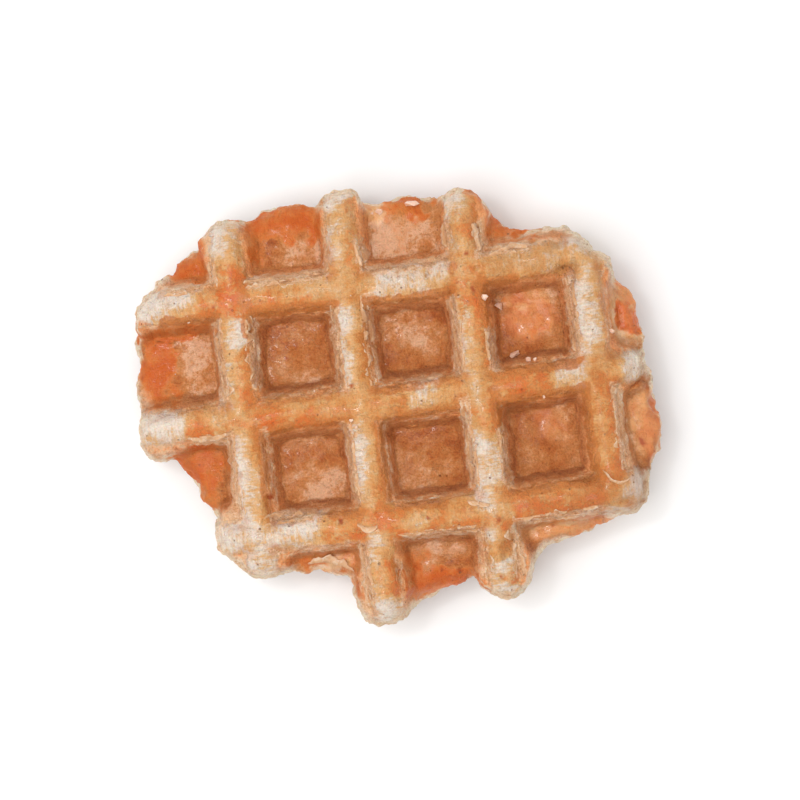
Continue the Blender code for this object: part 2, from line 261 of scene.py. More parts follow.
skin = {
    "voxel": 0.42 * mm,
    "quickVoxel": 0.7 * mm,
    "smoothing": 8,
    "triangles": 198000,      # of the finished crust
    "cornerRound": 0.022,     # where ribs cross, in pitches
    "crestReach": 2.8 * mm,   # from a rib's middle line to the edge of its baked crest
    "wallFoot": 5.5 * mm,     # and to the foot of its wall
    "backSlope": 0.028,       # how much farther the walls that face back reach, in pitches
    "lean": 0.13,             # painted light: how much paler the lit left and back sides of the crests are, and more caramel the shaded right and front sides
    "leanReach": 0.12,        # at this distance from the middle line, in pitches
    "crownDrop": 1.0 * mm,    # how far a crest falls from its middle to that edge
    "sag": 0.22 * mm,         # how far a crest has sunk, more in one place than in another
    "firm": (1.5 * mm, 4.5 * mm),      # how far in from the outline the pressed shape begins and is whole
    "toneReach": 0.09,        # how near to a crossing the two ribs' tones mix, in pitches
    "toneWander": 0.07,       # and how far the tones wander along a rib
    "innerCorner": 0.125,     # from a middle line to where the edges of two crests meet, in pitches
    # from a crest's edge to where a band begins, is full, fades and ends
    "tornBand": (-0.6 * mm, -0.1 * mm, 1.3 * mm, 2.6 * mm),
    "stainBand": (-1.5 * mm, -0.5 * mm, 0.5 * mm, 1.4 * mm),
    # heights of what stands out, each with its size in millimetres from one to the next
    "lumps": 0.42 * mm, "lumpSize": 5.5,
    "strands": 0.15 * mm, "strandSize": (0.85, 4.5, 3.0),      # ridges across a rib: along it, across, up
    "leaves": 0.20 * mm, "leafSize": (1.7, 1.7, 3.0),          # flaky layers on the walls
    "ragged": 0.55 * mm, "raggedSize": 2.1,                    # torn edges
    "ripple": 0.24 * mm, "rippleSize": 2.6,                    # on the pockets' floors
    "pinholes": 220,
    "pinholeRadius": (0.22, 0.55),     # in millimetres
}


def bandAlong(rib, place, out, ragged):
    # torn and stained bands on the two shoulders of a rib
    tornBand, stainBand = np.zeros(len(place)), np.zeros(len(place))
    for low, high, side, tornShare, stainShare in rib["shoulders"]:
        past = -side * out - skin["crestReach"] + ragged
        here = band(place, low - 0.03, low + 0.05, high - 0.05, high + 0.03)
        tornBand = np.maximum(tornBand, tornShare * here * band(past, *skin["tornBand"]))
        stainBand = np.maximum(stainBand, stainShare * here * band(past, *skin["stainBand"]))
    return tornBand, stainBand


def ribField(places):
    # for each point: distance from the nearest rib's middle line, which way that rib runs, the tones
    # there, how near it is to the inner corner of a crossing, and the bands on the shoulders
    right = (places[:, 0] - grid["crossingX"]) / grid["pitch"]
    front = (grid["crossingY"] - places[:, 1]) / grid["pitch"]
    upper = places[:, 2] > grid["middleZ"]
    wander = skin["toneWander"] * layeredNoise(np.stack([right * 4, front * 4, 3.0 * upper], 1), 41, 3)
    ragged = 0.45 * mm * layeredNoise(places / mm / 2.0, 45, 3)
    blend, closeness = np.zeros(len(places)), np.zeros(len(places))
    nearest = {"column": np.ones(len(places)), "row": np.ones(len(places))}
    tone = np.zeros((len(places), 3))
    tornBand, stainBand = np.zeros(len(places)), np.zeros(len(places))
    for rib in columns + rows:
        kind = "column" if rib in columns else "row"
        along, across = (front, right) if kind == "column" else (right, front)
        off = across - ribLine(rib, along)
        past = np.maximum(rib["from"] - along, 0.0) + np.maximum(along - rib["to"], 0.0)
        gap = np.sqrt(off ** 2 + past ** 2)
        if kind == "row":
            gap = gap - skin["backSlope"] * smooth(0.08, 0.20, -off)    # the walls that face back lean more
        # the lower face has the same ribs with their tones the other way round
        place = np.where(upper, along, rib["from"] + rib["to"] - along) + wander
        own = toneAlong(rib["tones"], place)
        # painted light and shade: cream moves to the lit left and back side, caramel darkens the right and
        # front side
        own[:, 0] = np.clip(own[:, 0] - (own[:, 2] + skin["lean"]) * off / skin["leanReach"], 0.0, 1.0)
        own[:, 1] = np.clip(own[:, 1] + 1.3 * skin["lean"] * off / skin["leanReach"], 0.0, 1.0)
        weight = np.exp(-(gap / skin["toneReach"]) ** 2)
        tone += weight[:, None] * own
        blend += weight
        closeness += np.exp(-gap / skin["cornerRound"])
        nearest[kind] = np.minimum(nearest[kind], gap)
        near = np.where(gap < 0.30)[0]      # as far as its shoulders reach
        tornHere, stainHere = bandAlong(rib, place[near], off[near] * grid["pitch"], ragged[near])
        tornBand[near] = np.maximum(tornBand[near], tornHere)
        stainBand[near] = np.maximum(stainBand[near], stainHere)
    tone /= np.maximum(blend, 1e-9)[:, None]
    # rounded where two ribs cross
    rounded = -skin["cornerRound"] * np.log(np.maximum(closeness, 1e-12))
    corner = np.hypot(nearest["column"] - skin["innerCorner"], nearest["row"] - skin["innerCorner"])
    return {"right": right, "back": -front, "gap": np.maximum(rounded, 0.0) * grid["pitch"],
            "isColumn": (nearest["column"] <= nearest["row"]).astype(float),
            "cream": tone[:, 0], "caramelTone": tone[:, 1],
            "corner": np.exp(-(corner / 0.05) ** 2), "torn": tornBand, "stain": stainBand}


def surfaceMasks(mesh):
    places, normals = readVectors(mesh.vertices, "co"), readVectors(mesh.vertex_normals, "vector")
    height = np.abs(places[:, 2] - grid["middleZ"])
    rise = (height - grid["web"] / 2) / (grid["halfHeight"] - grid["web"] / 2)
    inset = insetMap(places, 0.5 * mm)
    upright = np.abs(normals[:, 2])
    low = smooth(0.55, 0.28, rise)
    crest = smooth(0.72, 0.95, rise) * smooth(0.35, 0.75, upright)
    side = smooth(2.6 * mm, 0.9 * mm, inset) * smooth(0.92, 0.55, upright)
    floor = low * smooth(0.3, 0.65, upright) * (1.0 - side)
    wall = np.clip(1.0 - crest - floor - side, 0.0, 1.0)
    return ribField(places) | {"places": places, "normals": normals, "rise": rise, "inset": inset, "low": low,
                               "crest": crest, "side": side, "floor": floor, "wall": wall}


def pinholeDepth(masks, seed):
    # small holes left by bubbles, on the pale stretches and on the walls
    places = masks["places"]
    likely = 0.06 + masks["cream"] * masks["crest"] + 0.8 * masks["wall"] + 0.6 * masks["side"]
    chance = np.random.RandomState(seed)
    picked = chance.choice(len(places), skin["pinholes"], replace=False, p=likely / likely.sum())
    depth = np.zeros(len(places))
    radii = chance.uniform(*skin["pinholeRadius"], skin["pinholes"]) * mm
    for middle, radius in zip(places[picked], radii):
        near = np.where(np.abs(places - middle).max(axis=1) < 2 * radius)[0]
        off = np.linalg.norm(places[near] - middle, axis=1) / radius
        depth[near] = np.maximum(depth[near], radius * 1.1 * np.exp(-off ** 2))
    return depth


# Swollen ends and corners, which keep the shape they have: place to the right and to the back in
# pitches, and how far each reaches to the right and to the back.
swollen = [
    (0.02, 0.42, 0.24, 0.27), (1.01, 0.55, 0.2, 0.27), (2.04, 0.4, 0.22, 0.27), (2.92, -0.1, 0.24, 0.3),
    (3.17, -0.98, 0.23, 0.22), (3.06, -1.97, 0.27, 0.28), (2.01, -2.5, 0.27, 0.3), (0.98, -2.58, 0.28, 0.32),
    (-0.03, -2.03, 0.36, 0.38), (-0.7, -1.03, 0.25, 0.27), (-0.6, -0.01, 0.28, 0.13),
]


def pressedHeights(masks, inMm):
    # inside the outline the pressed shape follows the ribs: crowned crests, leaning walls, flat pockets
    gap = masks["gap"] * (1 + 0.10 * waveNoise(inMm / 6.5, 7)) + 0.25 * mm * layeredNoise(inMm / 2.4, 8, 2)
    gap = np.maximum(gap, 0.0)
    crown = skin["crownDrop"] * np.clip(gap / skin["crestReach"], 0.0, 1.0) ** 2
    sag = skin["sag"] * (1 + waveNoise(inMm / 7.0, 5))
    down = np.clip((gap - skin["crestReach"]) / (skin["wallFoot"] - skin["crestReach"]), 0.0, 1.0)
    wallTop = grid["halfHeight"] - crown - sag
    pressed = wallTop + (grid["web"] / 2 - wallTop) * (0.55 * down + 0.45 * smooth(0.0, 1.0, down))
    firm = smooth(*skin["firm"], masks["inset"])
    for endRight, endBack, wide, deep in swollen:
        off = np.hypot((masks["right"] - endRight) / wide, (masks["back"] - endBack) / deep)
        firm *= smooth(0.85, 1.25, off)
    height = np.abs(masks["places"][:, 2] - grid["middleZ"])
    loose = height - (crown + sag) * smooth(0.5, 0.85, masks["rise"])
    return loose + (pressed - loose) * firm


# Dents: place to the right and to the back in pitches, radius and depth in millimetres.
dents = [
    (2.84, -0.16, 1.6, 3), (2.91, -0.1, 0.8, 1.6), (2.02, -2.37, 1.7, 1.1), (0.7, -1.97, 0.7, 0.7),
    (1.13, -2.45, 0.6, 0.6), (1.43, -2.03, 0.7, 0.6), (1.02, -1.94, 0.7, 0.5), (1.36, 0.02, 0.6, 0.7),
    (1.69, 0, 0.6, 0.7), (3, -0.42, 0.5, 0.6), (2.97, -0.62, 0.5, 0.6), (-0.74, -1.01, 0.9, 0.5),
]


def surfaceRelief(masks, inMm, face):
    # how far each point stands out from the pressed shape
    crest, wall, side = masks["crest"], masks["wall"], masks["side"]
    relief = skin["lumps"] * layeredNoise(inMm / skin["lumpSize"], 11, 2) * (0.5 + 0.5 * crest + 0.5 * side)
    turned = np.where(masks["isColumn"][:, None] > 0.5, inMm[:, [1, 0, 2]], inMm)
    strands = waveNoise(turned / np.array(skin["strandSize"]), 21)
    relief += skin["strands"] * strands * (0.3 + masks["cream"]) * (crest + 0.6 * wall)
    warped = inMm + 1.3 * np.stack([waveNoise(inMm / 3.1, seed) for seed in (33, 34, 35)], 1)
    leaves = layeredNoise(warped / np.array(skin["leafSize"]), 31, 2)
    relief += skin["leaves"] * leaves * (wall + 0.7 * side)
    raggedEdge = layeredNoise(inMm / skin["raggedSize"], 51, 3)
    relief += skin["ragged"] * raggedEdge * side * (0.5 + 0.5 * masks["cream"])
    relief += skin["ripple"] * layeredNoise(inMm / skin["rippleSize"], 61, 3) * masks["floor"]
    relief -= pinholeDepth(masks, 71)
    for dentRight, dentBack, radius, depth in dents:
        off = np.hypot(masks["right"] - dentRight, masks["back"] - dentBack) * grid["pitch"] / (radius * mm)
        upward = (face > 0) * smooth(0.0, 0.3, masks["normals"][:, 2])
        relief -= depth * mm * np.exp(-off ** 2) * upward
    return relief


def shapeSurface(mesh):
    masks = surfaceMasks(mesh)
    inMm = masks["places"] / mm
    face = np.sign(masks["places"][:, 2] - grid["middleZ"])
    moved = masks["places"].copy()
    moved[:, 2] = grid["middleZ"] + face * pressedHeights(masks, inMm)
    moved += masks["normals"] * surfaceRelief(masks, inMm, face)[:, None]
    moved[:, 2] = np.maximum(moved[:, 2], lowCorner.z)
    mesh.vertices.foreach_set("co", moved.ravel())
    mesh.update()


# Pools on the web and elsewhere: place to the right and to the back in pitches, the two half widths, and
# how strong each is.
pools = {
    "caramel": [     # caramelised sugar
        (0.53, 0.585, 0.4, 0.185, 1), (0.3, 0.45, 0.12, 0.25, 0.7), (1.6, 0.64, 0.24, 0.13, 0.8),
        (1.5, 0.45, 0.14, 0.3, 0.35), (2.4, 0.34, 0.28, 0.16, 0.75), (-0.32, 0.4, 0.26, 0.2, 0.8),
        (-0.69, -0.46, 0.17, 0.38, 1), (-0.5, -0.21, 0.34, 0.07, 0.9), (-0.44, -1.42, 0.24, 0.3, 1),
        (3.3, -0.56, 0.09, 0.16, 0.9), (3.3, -0.36, 0.1, 0.14, 0.4), (3.34, -1.5, 0.14, 0.34, 0.3),
        (1.45, -2.6, 0.42, 0.13, 0.95), (1.28, -2.36, 0.12, 0.14, 0.5), (2.62, -2.28, 0.5, 0.1, 0.45),
        (0.34, -2.27, 0.22, 0.06, 0.55), (0.76, -2.46, 0.08, 0.22, 0.5), (2.52, -0.53, 0.13, 0.13, 0.55),
        (2.3, -0.42, 0.07, 0.16, 0.5), (2.52, -1.45, 0.22, 0.24, 0.2), (1.55, -1.32, 0.34, 0.12, 0.35),
        (2.14, 0.55, 0.1, 0.16, 0.7)],
    "dullShade": [       # darker and duller: painted shade on the right-hand crests where the light falls off, and in three small dents
        (3, -2.02, 0.42, 0.2, 0.55), (2.45, -2, 0.36, 0.12, 0.3), (2.5, 0.02, 0.34, 0.12, 0.4),
        (2.98, -0.98, 0.12, 0.14, 0.25), (2.03, -2.36, 0.055, 0.065, 0.9), (1.355, 0.03, 0.018, 0.022, 1.2),
        (1.69, 0, 0.02, 0.022, 1.2)],
    "syrup": [       # syrupy gloss
        (2.5, -0.44, 0.24, 0.23, 1), (2.56, -1.38, 0.16, 0.14, 0.6), (1.32, 0.58, 0.12, 0.08, 0.8),
        (3.3, -0.52, 0.16, 0.3, 1), (3.36, -1.48, 0.14, 0.3, 1), (0.62, -2.32, 0.28, 0.08, 0.9),
        (2.6, -2.26, 0.44, 0.08, 0.9), (1.52, -2.66, 0.4, 0.06, 0.7)],
    "pale": [        # paler, less baked web; the whitish spots at (1.32, 0.6) and (2.36, -0.34) are painted highlights
        (-0.86, -0.62, 0.06, 0.24, 1.2), (-0.36, -0.5, 0.18, 0.3, 1), (0.6, 0.31, 0.3, 0.17, 1),
        (1.32, 0.6, 0.14, 0.08, 0.9), (1.48, 0.36, 0.34, 0.2, 1), (0.58, -2.35, 0.22, 0.08, 1.2),
        (2.45, -2.3, 0.4, 0.1, 0.9), (3.36, -1.3, 0.1, 0.12, 0.9), (3.4, -0.7, 0.1, 0.12, 0.9),
        (2.36, -0.34, 0.1, 0.04, 1.2), (1.5, -2.32, 0.26, 0.12, 0.5), (2.4, 0.2, 0.2, 0.08, 0.8),
        (1.5, -2.24, 0.2, 0.08, 0.5), (0.6, -0.72, 0.18, 0.1, 0.4), (1.48, -0.42, 0.2, 0.16, 0.6),
        (0.5, -1.62, 0.26, 0.16, 0.6), (2.66, -0.24, 0.1, 0.08, 0.7), (2.68, -1.28, 0.1, 0.08, 0.7),
        (1.62, -1.66, 0.2, 0.1, 0.6), (3.22, -0.5, 0.1, 0.26, 1), (3.24, -1.45, 0.08, 0.3, 0.7),
        (0.8, 0.32, 0.16, 0.16, 0.7), (2.32, 0.3, 0.16, 0.1, 0.8), (0.56, 0.42, 0.24, 0.09, 0.9)],
}
# Small burnt drops of sugar: place to the right and to the back in pitches, radius in millimetres.
burntDrops = [
    (3.3, -1.63, 0.75), (1.63, -2.52, 0.4), (1.48, -2.5, 0.35), (0.13, -1.69, 0.6), (0.7, -1.97, 0.55),
    (2.03, 0.12, 0.4), (2.05, -0.18, 0.45), (0.94, -0.86, 0.35), (2.02, -2.12, 0.45), (1.97, -2.6, 0.45),
    (1.13, -2.44, 0.35), (1.43, -2.03, 0.4), (3.22, -0.51, 0.4), (0.4, -0.55, 0.35), (-0.13, -0.05, 0.3),
]


def insidePools(kind, right, back):
    # how far inside any pool of that kind each point is, 0 to 1
    most = np.zeros(len(right))
    for poolRight, poolBack, wide, deep, strength in pools[kind]:
        off = np.sqrt(((right - poolRight) / wide) ** 2 + ((back - poolBack) / deep) ** 2)
        most = np.maximum(most, strength * smooth(1.35, 0.6, off))
    return most


def insideDrops(right, back, inMm):
    # small ragged spots, 1 inside
    most = np.zeros(len(right))
    rough = 0.35 * layeredNoise(inMm / 0.9, 37, 2)
    for dropRight, dropBack, radius in burntDrops:
        off = np.hypot(right - dropRight, back - dropBack) * grid["pitch"] / mm / radius
        most = np.maximum(most, smooth(1.3, 0.7, off + rough))
    return most


def storeMasks(mesh):
    masks = surfaceMasks(mesh)
    inMm = masks["places"] / mm
    low, rise, side, isColumn = masks["low"], masks["rise"], masks["side"], masks["isColumn"]
    upper = masks["places"][:, 2] > grid["middleZ"]
    upward = masks["normals"][:, 2] * np.where(upper, 1.0, -1.0)
    # on the lower face the pools lie the other way round
    right, back = np.where(upper, masks["right"], 2.5 - masks["right"]), masks["back"]
    warp = 0.10 * layeredNoise(inMm / 3.5, 81, 3)
    pooled = insidePools("caramel", right + warp, back - warp)
    crestEdge = skin["crestReach"] + 0.55 * mm * layeredNoise(inMm / 4.0, 87, 3)
    shaded = smooth(0.0, 0.5, masks["normals"][:, 1]) * (1 - isColumn)    # walls facing back, given painted shade
    behind = 1.0 - 0.75 * smooth(0.08, 0.16, back)      # behind the back row it's open, so the painted shade is weaker there
    inside = smooth(2 * mm, 6 * mm, masks["inset"])
    # painted shade at the foot of the walls, stronger along the rows
    footShade = smooth(0.97, 0.8, np.abs(masks["normals"][:, 2])) * (0.75 - 0.25 * isColumn)
    values = {
        "cream": masks["cream"],
        "caramel": np.clip(masks["caramelTone"], 0.0, 1.0),
        "pooled": np.clip(pooled * smooth(0.8, 0.4, rise) * smooth(-0.35, 0.25, upward), 0.0, 1.0),
        "pale": insidePools("pale", right - warp, back + warp) * low,
        # painted shade: the darker, duller patches and the dark spots in three dents
        "dullShade": insidePools("dullShade", right + warp, back + warp) * upper,
        "corner": np.clip(masks["corner"] * (1.0 + layeredNoise(inMm / 2.2, 97, 2)), 0.0, 1.0),
        "torn": masks["torn"] * smooth(0.1, 0.4, rise),
        "stain": masks["stain"] * smooth(0.15, 0.45, rise),
        "burnt": insideDrops(masks["right"], back, inMm) * upper,
        "pastEdge": (masks["gap"] - crestEdge) / mm,
        "edgeStain": np.clip(0.5 + 0.5 * waveNoise(inMm / 4.0, 91), 0.0, 1.0),
        "floor": masks["floor"],
        "side": side,
        "columnWise": isColumn,
        "raised": 1.0 - 0.8 * low,
        "rise": np.clip(rise, 0.0, 1.0),
        "syrup": insidePools("syrup", right + 0.5 * warp, back - 0.5 * warp) * low * upper,
        # painted shade: darker at the foot of the walls and on the walls facing back
        "grooveShade": behind * (0.6 * masks["wall"] * shaded * inside + low * (1 - side) * footShade),
    }
    for name, value in values.items():
        layer = mesh.attributes.new(name, "FLOAT", "POINT")
        layer.data.foreach_set("value", value.astype(np.float32))


def makeCrust():
    crust = linked("waffleCrust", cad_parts["waffle"].data.copy())
    crust.data.materials.clear()
    weld = crust.modifiers.new("weld", "WELD")
    weld.merge_threshold = 0.01 * mm
    fine = crust.modifiers.new("fine", "REMESH")
    fine.mode = "VOXEL"
    fine.voxel_size = skin["voxel"]
    even = crust.modifiers.new("even", "SMOOTH")
    even.factor = 0.5
    even.iterations = skin["smoothing"]
    applyModifiers(crust)
    print("crust refined:", len(crust.data.vertices), "points")
    shapeSurface(crust.data)
    count = sum(len(face.vertices) - 2 for face in crust.data.polygons)
    if count > skin["triangles"]:
        thin = crust.modifiers.new("thin", "DECIMATE")
        thin.ratio = skin["triangles"] / count
        applyModifiers(crust)
    crust.data.shade_smooth()
    storeMasks(crust.data)
    print("crust shaped:", len(crust.data.polygons), "faces")
    return crust


def addNode(tree, kind, **settings):
    # nodes stand in columns of twelve, in the order they are made
    count = len(tree.nodes)
    node = tree.nodes.new(kind)
    node.location = (count // 12 * 220, count % 12 * -190)
    for name, value in settings.items():
        setattr(node, name, value)
    return node


def connect(socket, value):
    # a socket is linked, and a number, a vector or a colour is set
    if isinstance(value, bpy.types.NodeSocket):
        socket.id_data.links.new(value, socket)
    elif socket.type == "RGBA" and isinstance(value, tuple):
        socket.default_value = (*value, 1.0)
    else:
        socket.default_value = value


def give(node, **values):
    for name, value in values.items():
        connect(node.inputs[name.replace("_", " ")], value)


def maths(operation, first, second, clamp=False):
    tree = (first if isinstance(first, bpy.types.NodeSocket) else second).id_data
    node = addNode(tree, "ShaderNodeMath", operation=operation, use_clamp=clamp)
    connect(node.inputs[0], first)
    connect(node.inputs[1], second)
    return node.outputs[0]


def times(first, second, clamp=False):
    return maths("MULTIPLY", first, second, clamp)


def summed(*parts, clamp=True):
    total = parts[0]
    for number, part in enumerate(parts[1:], 2):
        total = maths("ADD", total, part, clamp and number == len(parts))
    return total


def uneven(noises, *parts, clamp=True, **swings):
    # the parts added up, and each named noise swinging to both sides of nought by its amount
    swung = [times(maths("SUBTRACT", noises[name], 0.5), amount) for name, amount in swings.items()]
    return summed(*parts, *swung, clamp=clamp)


def between(source, low, high, bottom=0.0, top=1.0, kind="SMOOTHSTEP"):
    node = addNode(source.id_data, "ShaderNodeMapRange", interpolation_type=kind)
    for socket, value in zip(node.inputs, (source, low, high, bottom, top)):
        connect(socket, value)
    return node.outputs["Result"]


def mixColours(share, first, second, mode="MIX"):
    node = addNode(share.id_data, "ShaderNodeMix", data_type="RGBA", blend_type=mode)
    for socket, value in zip((node.inputs[0], node.inputs[6], node.inputs[7]), (share, first, second)):
        connect(socket, value)
    return node.outputs[2]


def colourRamp(factor, stops):
    node = addNode(factor.id_data, "ShaderNodeValToRGB")
    ramp = node.color_ramp
    while len(ramp.elements) < len(stops):
        ramp.elements.new(0.5)
    for element, (position, colour) in zip(ramp.elements, stops):
        element.position = position
        element.color = (*colour, 1.0)
    connect(node.inputs[0], factor)
    return node.outputs[0]


def maskOf(tree, name):
    return addNode(tree, "ShaderNodeAttribute", attribute_name=name).outputs["Fac"]


def objectCoords(tree):
    return addNode(tree, "ShaderNodeTexCoord").outputs["Object"]


def noiseOf(vector, scale, detail, roughness=0.55):
    node = addNode(vector.id_data, "ShaderNodeTexNoise")
    give(node, Vector=vector, Scale=scale, Detail=detail, Roughness=roughness)
    return node.outputs["Fac"]


def stretched(vector, scales):
    node = addNode(vector.id_data, "ShaderNodeMapping")
    give(node, Vector=vector, Scale=scales)
    return node.outputs["Vector"]


def newGroup(name, inputs, outputs):
    group = bpy.data.node_groups.new(name, "ShaderNodeTree")
    for label, value in inputs.items():
        kind = "NodeSocketVector" if value is None else "NodeSocketFloat"
        socket = group.interface.new_socket(label, in_out="INPUT", socket_type=kind)
        if value is not None:
            socket.default_value = value
    for label in outputs:
        group.interface.new_socket(label, in_out="OUTPUT", socket_type="NodeSocketFloat")
    given = addNode(group, "NodeGroupInput").outputs
    result = addNode(group, "NodeGroupOutput")
    result.location = (1000, 0)
    return group, given, result


def crumbGrain():
    # fine speckle and open crumb of baked dough, for every material
    inputs = {"Vector": None, "Grain per mm": 2.0, "Pores per mm": 0.6, "Openness": 0.5}
    group, given, result = newGroup("crumbGrain", inputs, ("Speckle", "Pores", "Height"))
    speck = noiseOf(given["Vector"], times(given["Grain per mm"], 1 / mm), 4.0, 0.65)
    cells = addNode(group, "ShaderNodeTexVoronoi")
    give(cells, Vector=given["Vector"], Scale=times(given["Pores per mm"], 1 / mm))
    chances = addNode(group, "ShaderNodeSeparateColor")
    give(chances, Color=cells.outputs["Color"])
    size = times(chances.outputs["Red"], chances.outputs["Green"])
    radius = times(size, times(given["Openness"], 0.8))
    pores = times(maths("SUBTRACT", radius, cells.outputs["Distance"]), 12.0, clamp=True)
    give(result, Speckle=speck, Pores=pores, Height=maths("SUBTRACT", speck, times(pores, 1.5)))
    return group


def flakySkin():
    # small sharp-edged flakes of crust, and thin creases in it, for every dough material
    inputs = {"Vector": None, "Flakes per mm": 0.8, "Creases per mm": 0.42}
    group, given, result = newGroup("flakySkin", inputs, ("Flakes", "Creases"))
    flaked = noiseOf(given["Vector"], times(given["Flakes per mm"], 1 / mm), 5.0, 0.6)
    folded = noiseOf(given["Vector"], times(given["Creases per mm"], 1 / mm), 3.0, 0.6)
    apart = maths("ABSOLUTE", maths("SUBTRACT", folded, 0.5), 0.0)
    give(result, Flakes=between(flaked, 0.53, 0.58), Creases=between(apart, 0.022, 0.0))
    return group


def placeGroup(tree, group, **values):
    node = addNode(tree, "ShaderNodeGroup", node_tree=group)
    give(node, **values)
    return node.outputs


def newMaterial(name):
    material = bpy.data.materials.new(name)
    material.use_nodes = True
    tree = material.node_tree
    shader = tree.nodes["Principled BSDF"]
    shader.location = (3800, 0)
    tree.nodes["Material Output"].location = (4100, 0)
    return material, tree, shader


def setSurface(shader, look, colour, height):
    # colour, the light that soaks in, and the fine relief
    give(shader, Base_Color=colour, Subsurface_Weight=look["soaks"], Subsurface_Radius=look["soakColours"],
         Subsurface_Scale=look["soakDepth"])
    bump = addNode(shader.id_data, "ShaderNodeBump")
    give(bump, Strength=look["relief"], Distance=look["reliefDepth"], Height=height)
    give(shader, Normal=bump.outputs["Normal"])


crustLook = {
    "crest": [(0.0, (0.58, 0.195, 0.040)), (0.22, (0.69, 0.305, 0.090)), (0.45, (0.725, 0.390, 0.155)),
              (0.60, (0.735, 0.445, 0.225)), (0.72, (0.765, 0.555, 0.39)), (1.0, (0.82, 0.695, 0.585))],
    "caramel": [(0.0, (0.74, 0.31, 0.095)), (0.5, (0.72, 0.218, 0.045)), (1.0, (0.64, 0.125, 0.012))],
    "floor": [(0.0, (0.42, 0.105, 0.021)), (0.3, (0.535, 0.170, 0.041)), (0.6, (0.605, 0.235, 0.073)),
              (0.82, (0.69, 0.31, 0.132)), (1.0, (0.79, 0.44, 0.255))],
    "glaze": [(0.0, (0.62, 0.155, 0.035)), (0.4, (0.71, 0.275, 0.085)), (0.75, (0.77, 0.39, 0.155)),
              (1.0, (0.82, 0.51, 0.29))],
    "torn": [(0.0, (0.53, 0.205, 0.075)), (0.35, (0.73, 0.365, 0.170)), (0.7, (0.83, 0.52, 0.315)),
             (1.0, (0.87, 0.66, 0.475))],
    "wall": [(0.0, (0.50, 0.160, 0.052)), (0.4, (0.78, 0.288, 0.096)), (0.75, (0.87, 0.41, 0.172)),
             (1.0, (0.89, 0.545, 0.300))],
    "side": [(0.0, (0.68, 0.36, 0.16)), (0.4, (0.81, 0.56, 0.35)), (1.0, (0.88, 0.74, 0.57))],
    "flake": (0.83, 0.50, 0.285),
    "stain": (0.60, 0.190, 0.038),
    "burnt": (0.42, 0.075, 0.014),
    # painted shade inside the pores
    "poreShade": (0.31, 0.105, 0.035),
    # painted shade at the foot of the walls and on the walls facing back
    "grooveShade": (0.20, 0.070, 0.028),
    # painted shade in the fine creases
    "creaseShade": (0.50, 0.220, 0.080),
    # painted shade for the darker, duller patches
    "dullShadeTone": (0.40, 0.140, 0.035),
    "roughness": 0.54, "specular": 0.3, "coat": 0.4, "coatRoughness": 0.1,
    "soaks": 0.22, "soakColours": (1.0, 0.45, 0.22), "soakDepth": 1.6 * mm,
    "relief": 0.8, "reliefDepth": 0.45 * mm,
}


def crustNoises(tree, mask, grain, skinFlakes):
    # the patterns that all parts of the crust share
    coords = objectCoords(tree)
    crumb = placeGroup(tree, grain, Vector=coords, Grain_per_mm=2.4, Pores_per_mm=0.7, Openness=0.3)
    flaky = placeGroup(tree, skinFlakes, Vector=coords)
    patch = noiseOf(coords, 700.0, 4.0, 0.6)
    # fine strands, across a rib on its crest and along it in the layers of its walls
    wayOfColumns = noiseOf(stretched(coords, (350, 2000, 350)), 1.0, 3.0, 0.6)
    wayOfRows = noiseOf(stretched(coords, (2000, 350, 350)), 1.0, 3.0, 0.6)
    return {
        "blotch": noiseOf(coords, 260.0, 3.0),
        "drift": noiseOf(coords, 105.0, 1.0),
        "patch": patch,
        "speck": crumb["Speckle"], "pores": crumb["Pores"], "crumb": crumb["Height"],
        "crisp": flaky["Flakes"], "crease": times(flaky["Creases"], between(patch, 0.42, 0.56)),
        "leaves": noiseOf(stretched(coords, (750, 750, 380)), 1.0, 5.0, 0.65),
        "strand": mixColours(mask["columnWise"], wayOfRows, wayOfColumns),
        "along": mixColours(mask["columnWise"], wayOfColumns, wayOfRows),
    }


def crestColour(mask, noises):
    # golden to cream, with sticky orange caramel over it
    strandy = maths("ADD", 0.35, times(mask["cream"], 0.85))
    strandy = times(maths("SUBTRACT", noises["strand"], 0.5), strandy)
    creamy = uneven(noises, 0.03, mask["cream"], strandy, crisp=0.13, blotch=1.3, patch=0.4, speck=0.12)
    sticky = uneven(noises, mask["caramel"], blotch=-1.1, patch=0.9, speck=0.3, crisp=-0.25)
    sticky = times(sticky, between(mask["caramel"], 0.05, 0.35))
    caramel = colourRamp(sticky, crustLook["caramel"])
    return mixColours(between(sticky, 0.25, 0.85), colourRamp(creamy, crustLook["crest"]), caramel), sticky


def wallColour(mask, noises):
    leafTone = uneven(noises, times(mask["rise"], 0.55), 0.2, leaves=1.0, patch=0.9, speck=0.8, along=1.2)
    flaked = uneven(noises, mask["cream"], -0.25, leaves=1.8, patch=1.4)
    flaked = times(flaked, between(mask["rise"], 0.2, 0.75))
    return mixColours(between(flaked, 0.15, 0.6), colourRamp(leafTone, crustLook["wall"]), crustLook["flake"])


def floorColour(mask, noises):
    flaked = times(noises["crisp"], times(mask["pale"], -0.14))
    tone = uneven(noises, 0.42, flaked, times(mask["pale"], 0.6),
                  drift=1.3, blotch=1.3, patch=0.9, speck=0.6, crisp=-0.08)
    return colourRamp(tone, crustLook["floor"])


def shoulderColour(colour, mask, noises):
    # torn skin shows pale dough, and caramel stains the edge of the crest
    ragged = uneven(noises, mask["torn"], -0.1, patch=1.6, along=1.3)
    ragged = times(between(ragged, 0.1, 0.55), between(mask["torn"], 0.02, 0.3))
    paleTone = uneven(noises, 0.5, speck=1.2, along=1.5, blotch=1.2)
    colour = mixColours(ragged, colour, colourRamp(paleTone, crustLook["torn"]))
    deep = uneven(noises, mask["stain"], patch=1.3, blotch=1.0)
    deep = times(between(deep, 0.25, 0.65), between(mask["stain"], 0.0, 0.4))
    return mixColours(times(deep, 0.8), colour, crustLook["stain"])


